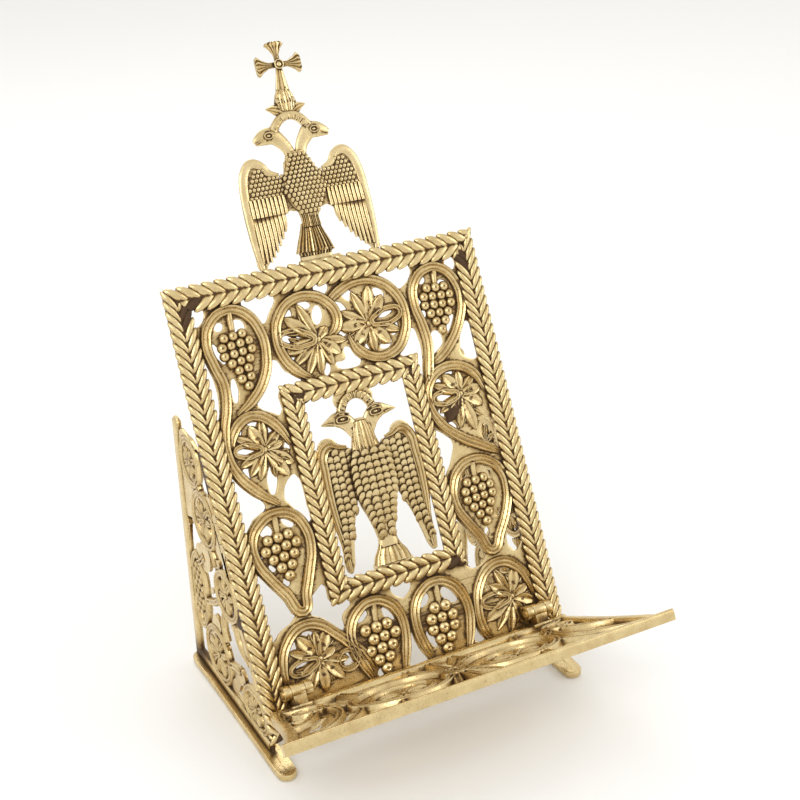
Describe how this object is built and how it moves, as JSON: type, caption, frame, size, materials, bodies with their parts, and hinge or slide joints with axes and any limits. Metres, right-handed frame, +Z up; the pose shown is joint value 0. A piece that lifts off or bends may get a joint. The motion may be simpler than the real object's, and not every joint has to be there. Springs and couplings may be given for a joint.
{
  "type": "folding book stand",
  "caption": "Folding book stand in pierced cast brass: leaning vine panel with an eagle crest, side wings that fold behind it and a hinged ledge.",
  "frame": {"origin": "on the floor under the middle of the stand's whole width and depth", "axes": "+X to the viewer's right, +Y to the rear, +Z up"},
  "size_m": [0.294, 0.3024, 0.4461],
  "materials": {
    "antique_brass": "cast, relief polished, dark patina in the recesses",
    "polished_brass": "cast, chased and brightly polished",
    "brass_pins": "drawn rod, satin, ends peened"
  },
  "bodies": {
    "panel": {"front_panel": "antique_brass", "centre_eagle": "polished_brass", "crest_eagle": "polished_brass", "crest_screws": "brass_pins", "left_lower_wing_pin": "brass_pins", "left_upper_wing_pin": "brass_pins", "right_lower_wing_pin": "brass_pins", "right_upper_wing_pin": "brass_pins", "left_ledge_pin": "brass_pins", "right_ledge_pin": "brass_pins"},
    "left_side": {"left_wing": "antique_brass", "left_foot_bar": "antique_brass"},
    "right_side": {"right_wing": "antique_brass", "right_foot_bar": "antique_brass"},
    "ledge": {"book_ledge": "antique_brass"}
  },
  "joints": [
    {"name": "left_wing_fold", "type": "hinge", "parent": "panel", "child": "left_side", "pos_m": [-0.116, -0.00914, 0.10123], "axis": [0, -0.4384, -0.8988], "range_deg": [0, 84]},
    {"name": "right_wing_fold", "type": "hinge", "parent": "panel", "child": "right_side", "pos_m": [0.116, -0.00914, 0.10123], "axis": [0, 0.4384, 0.8988], "range_deg": [0, 70]},
    {"name": "ledge_fold", "type": "hinge", "parent": "panel", "child": "ledge", "pos_m": [0, -0.05337, 0.05159], "axis": [-1, 0, 0], "range_deg": [0, 90]}
  ]
}
